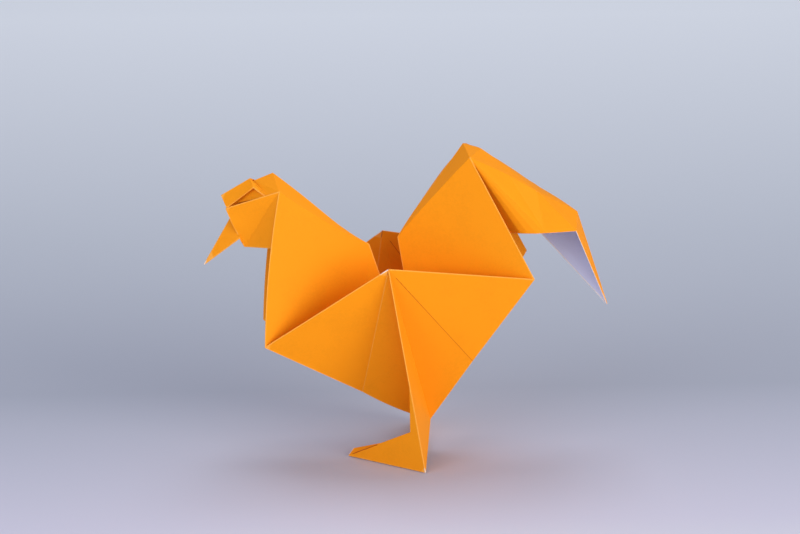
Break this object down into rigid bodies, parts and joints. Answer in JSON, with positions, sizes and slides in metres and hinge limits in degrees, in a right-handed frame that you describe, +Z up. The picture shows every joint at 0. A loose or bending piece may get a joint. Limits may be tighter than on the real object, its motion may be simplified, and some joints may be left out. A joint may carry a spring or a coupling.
{
  "type": "origami rooster",
  "caption": "A rooster folded from one square of orange paper, with a pleated comb, a pointed beak, an open body, a raised tail with a drooping plume, and folded feet",
  "frame": {"origin": "on the floor, under the middle of the object's box", "axes": "X is the length, with the head towards -X; Y is across the body; Z is up"},
  "size_m": [0.1154, 0.0434, 0.0914],
  "materials": {
    "orange_paper": "matt dyed paper with crisp folds and a white back"
  },
  "bodies": {
    "root": {"folded_sheet": "orange_paper"}
  },
  "joints": []
}
